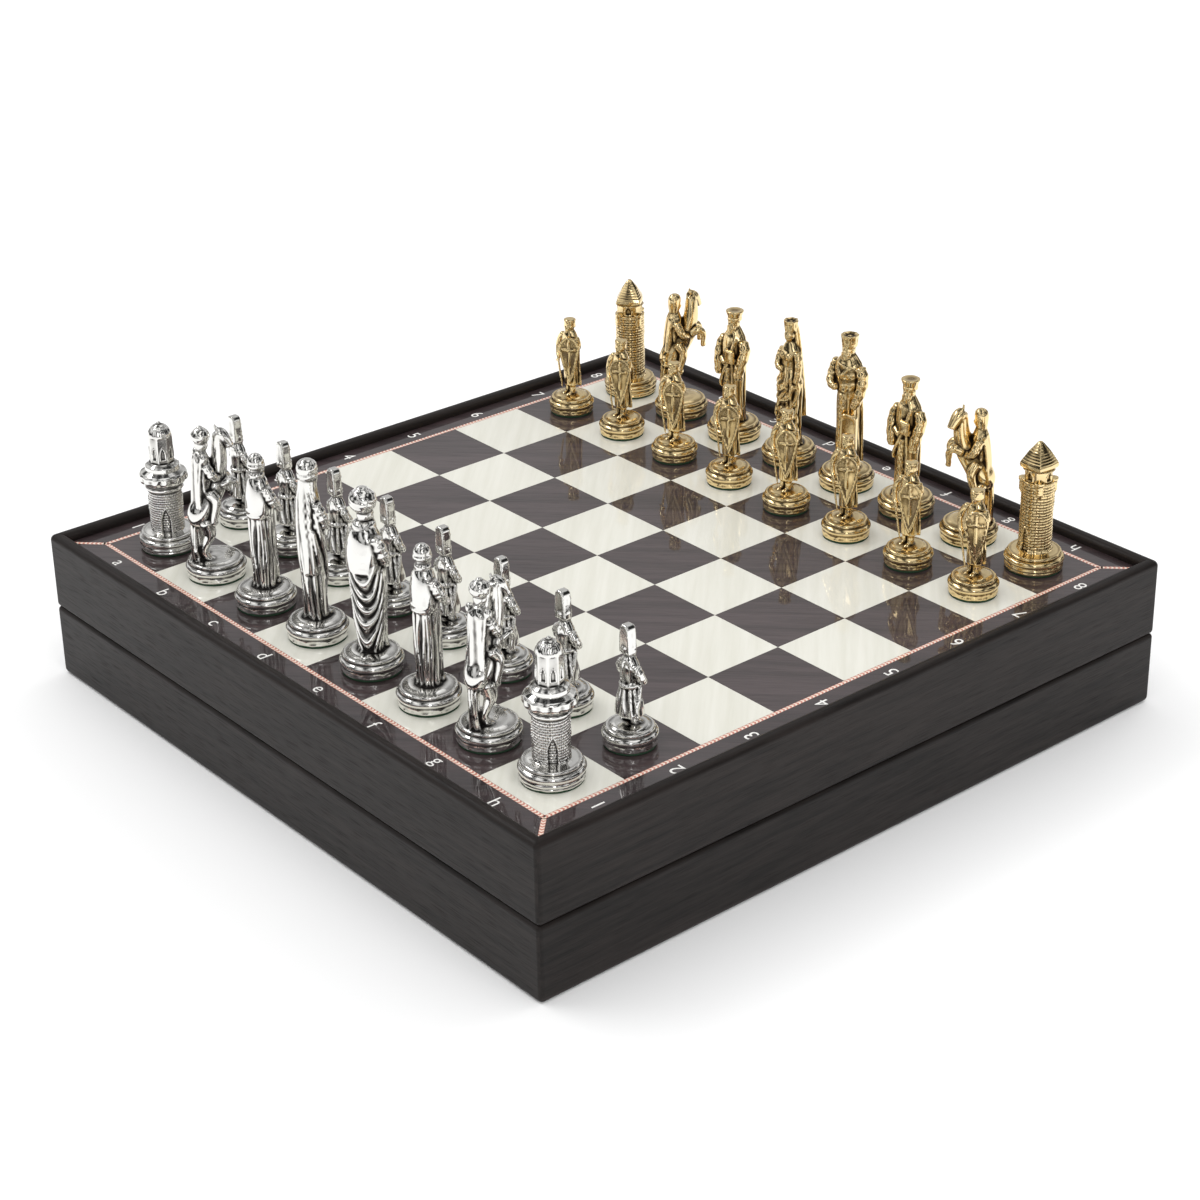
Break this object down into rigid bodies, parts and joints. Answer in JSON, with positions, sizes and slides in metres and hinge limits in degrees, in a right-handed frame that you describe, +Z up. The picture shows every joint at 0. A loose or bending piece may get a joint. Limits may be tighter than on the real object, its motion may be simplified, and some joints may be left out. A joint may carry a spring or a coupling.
{
  "type": "chess set with storage",
  "caption": "Square board box: a lift-off lid carries the inlaid chessboard inside a raised rim, the base stores figures in divided places, and cast metal figures stand on the board.",
  "frame": {"origin": "centre of the box's underside", "axes": "+Z up, +X along the ranks from file a to file h, +Y from rank 1 to rank 8"},
  "size_m": [0.342, 0.342, 0.1445],
  "materials": {
    "dark_veneer": "satin dark veneer",
    "plain_wood": "matt",
    "dark_square": "high gloss lacquer",
    "light_square": "high gloss lacquer",
    "board_border": "high gloss lacquer",
    "inlay": "high gloss lacquer",
    "felt": "short nap",
    "silver": "polished, dark in the hollows",
    "gold": "antiqued, dark in the hollows"
  },
  "bodies": {
    "base": {"base_rail_front": "dark_veneer", "base_rail_right": "dark_veneer", "base_rail_back": "dark_veneer", "base_rail_left": "dark_veneer", "locating_lip_front": "plain_wood", "locating_lip_right": "plain_wood", "locating_lip_back": "plain_wood", "locating_lip_left": "plain_wood", "bottom_panel": "plain_wood", "floor_felt": "felt", "long_dividers": "plain_wood", "cross_dividers": "plain_wood"},
    "lid": {"lid_rail_front": "dark_veneer", "lid_rail_right": "dark_veneer", "lid_rail_back": "dark_veneer", "lid_rail_left": "dark_veneer", "board_panel": "plain_wood", "panel_battens": "plain_wood", "lid_felt": "felt", "dark_squares": "dark_square", "light_squares": "light_square", "chevron_inlay": "inlay", "board_border": "board_border"},
    "silver_rook_a": {"silver_rook_a": "silver"},
    "silver_pawn_a": {"silver_pawn_a": "silver"},
    "silver_knight_b": {"silver_knight_b": "silver"},
    "silver_pawn_b": {"silver_pawn_b": "silver"},
    "silver_bishop_c": {"silver_bishop_c": "silver"},
    "silver_pawn_c": {"silver_pawn_c": "silver"},
    "silver_queen_d": {"silver_queen_d": "silver"},
    "silver_pawn_d": {"silver_pawn_d": "silver"},
    "silver_king_e": {"silver_king_e": "silver"},
    "silver_pawn_e": {"silver_pawn_e": "silver"},
    "silver_bishop_f": {"silver_bishop_f": "silver"},
    "silver_pawn_f": {"silver_pawn_f": "silver"},
    "silver_knight_g": {"silver_knight_g": "silver"},
    "silver_pawn_g": {"silver_pawn_g": "silver"},
    "silver_rook_h": {"silver_rook_h": "silver"},
    "silver_pawn_h": {"silver_pawn_h": "silver"},
    "gold_rook_a": {"gold_rook_a": "gold"},
    "gold_pawn_a": {"gold_pawn_a": "gold"},
    "gold_knight_b": {"gold_knight_b": "gold"},
    "gold_pawn_b": {"gold_pawn_b": "gold"},
    "gold_bishop_c": {"gold_bishop_c": "gold"},
    "gold_pawn_c": {"gold_pawn_c": "gold"},
    "gold_queen_d": {"gold_queen_d": "gold"},
    "gold_pawn_d": {"gold_pawn_d": "gold"},
    "gold_king_e": {"gold_king_e": "gold"},
    "gold_pawn_e": {"gold_pawn_e": "gold"},
    "gold_bishop_f": {"gold_bishop_f": "gold"},
    "gold_pawn_f": {"gold_pawn_f": "gold"},
    "gold_knight_g": {"gold_knight_g": "gold"},
    "gold_pawn_g": {"gold_pawn_g": "gold"},
    "gold_rook_h": {"gold_rook_h": "gold"},
    "gold_pawn_h": {"gold_pawn_h": "gold"}
  },
  "joints": [
    {"name": "lid_lift", "type": "slide", "parent": "base", "child": "lid", "axis": [0, 0, 1], "range_m": [0, 0.12]},
    {"name": "silver_rook_a_lift", "type": "slide", "parent": "lid", "child": "silver_rook_a", "axis": [0, 0, 1], "range_m": [0, 0.1]},
    {"name": "silver_pawn_a_lift", "type": "slide", "parent": "lid", "child": "silver_pawn_a", "axis": [0, 0, 1], "range_m": [0, 0.1]},
    {"name": "silver_knight_b_lift", "type": "slide", "parent": "lid", "child": "silver_knight_b", "axis": [0, 0, 1], "range_m": [0, 0.1]},
    {"name": "silver_pawn_b_lift", "type": "slide", "parent": "lid", "child": "silver_pawn_b", "axis": [0, 0, 1], "range_m": [0, 0.1]},
    {"name": "silver_bishop_c_lift", "type": "slide", "parent": "lid", "child": "silver_bishop_c", "axis": [0, 0, 1], "range_m": [0, 0.1]},
    {"name": "silver_pawn_c_lift", "type": "slide", "parent": "lid", "child": "silver_pawn_c", "axis": [0, 0, 1], "range_m": [0, 0.1]},
    {"name": "silver_queen_d_lift", "type": "slide", "parent": "lid", "child": "silver_queen_d", "axis": [0, 0, 1], "range_m": [0, 0.1]},
    {"name": "silver_pawn_d_lift", "type": "slide", "parent": "lid", "child": "silver_pawn_d", "axis": [0, 0, 1], "range_m": [0, 0.1]},
    {"name": "silver_king_e_lift", "type": "slide", "parent": "lid", "child": "silver_king_e", "axis": [0, 0, 1], "range_m": [0, 0.1]},
    {"name": "silver_pawn_e_lift", "type": "slide", "parent": "lid", "child": "silver_pawn_e", "axis": [0, 0, 1], "range_m": [0, 0.1]},
    {"name": "silver_bishop_f_lift", "type": "slide", "parent": "lid", "child": "silver_bishop_f", "axis": [0, 0, 1], "range_m": [0, 0.1]},
    {"name": "silver_pawn_f_lift", "type": "slide", "parent": "lid", "child": "silver_pawn_f", "axis": [0, 0, 1], "range_m": [0, 0.1]},
    {"name": "silver_knight_g_lift", "type": "slide", "parent": "lid", "child": "silver_knight_g", "axis": [0, 0, 1], "range_m": [0, 0.1]},
    {"name": "silver_pawn_g_lift", "type": "slide", "parent": "lid", "child": "silver_pawn_g", "axis": [0, 0, 1], "range_m": [0, 0.1]},
    {"name": "silver_rook_h_lift", "type": "slide", "parent": "lid", "child": "silver_rook_h", "axis": [0, 0, 1], "range_m": [0, 0.1]},
    {"name": "silver_pawn_h_lift", "type": "slide", "parent": "lid", "child": "silver_pawn_h", "axis": [0, 0, 1], "range_m": [0, 0.1]},
    {"name": "gold_rook_a_lift", "type": "slide", "parent": "lid", "child": "gold_rook_a", "axis": [0, 0, 1], "range_m": [0, 0.1]},
    {"name": "gold_pawn_a_lift", "type": "slide", "parent": "lid", "child": "gold_pawn_a", "axis": [0, 0, 1], "range_m": [0, 0.1]},
    {"name": "gold_knight_b_lift", "type": "slide", "parent": "lid", "child": "gold_knight_b", "axis": [0, 0, 1], "range_m": [0, 0.1]},
    {"name": "gold_pawn_b_lift", "type": "slide", "parent": "lid", "child": "gold_pawn_b", "axis": [0, 0, 1], "range_m": [0, 0.1]},
    {"name": "gold_bishop_c_lift", "type": "slide", "parent": "lid", "child": "gold_bishop_c", "axis": [0, 0, 1], "range_m": [0, 0.1]},
    {"name": "gold_pawn_c_lift", "type": "slide", "parent": "lid", "child": "gold_pawn_c", "axis": [0, 0, 1], "range_m": [0, 0.1]},
    {"name": "gold_queen_d_lift", "type": "slide", "parent": "lid", "child": "gold_queen_d", "axis": [0, 0, 1], "range_m": [0, 0.1]},
    {"name": "gold_pawn_d_lift", "type": "slide", "parent": "lid", "child": "gold_pawn_d", "axis": [0, 0, 1], "range_m": [0, 0.1]},
    {"name": "gold_king_e_lift", "type": "slide", "parent": "lid", "child": "gold_king_e", "axis": [0, 0, 1], "range_m": [0, 0.1]},
    {"name": "gold_pawn_e_lift", "type": "slide", "parent": "lid", "child": "gold_pawn_e", "axis": [0, 0, 1], "range_m": [0, 0.1]},
    {"name": "gold_bishop_f_lift", "type": "slide", "parent": "lid", "child": "gold_bishop_f", "axis": [0, 0, 1], "range_m": [0, 0.1]},
    {"name": "gold_pawn_f_lift", "type": "slide", "parent": "lid", "child": "gold_pawn_f", "axis": [0, 0, 1], "range_m": [0, 0.1]},
    {"name": "gold_knight_g_lift", "type": "slide", "parent": "lid", "child": "gold_knight_g", "axis": [0, 0, 1], "range_m": [0, 0.1]},
    {"name": "gold_pawn_g_lift", "type": "slide", "parent": "lid", "child": "gold_pawn_g", "axis": [0, 0, 1], "range_m": [0, 0.1]},
    {"name": "gold_rook_h_lift", "type": "slide", "parent": "lid", "child": "gold_rook_h", "axis": [0, 0, 1], "range_m": [0, 0.1]},
    {"name": "gold_pawn_h_lift", "type": "slide", "parent": "lid", "child": "gold_pawn_h", "axis": [0, 0, 1], "range_m": [0, 0.1]}
  ]
}
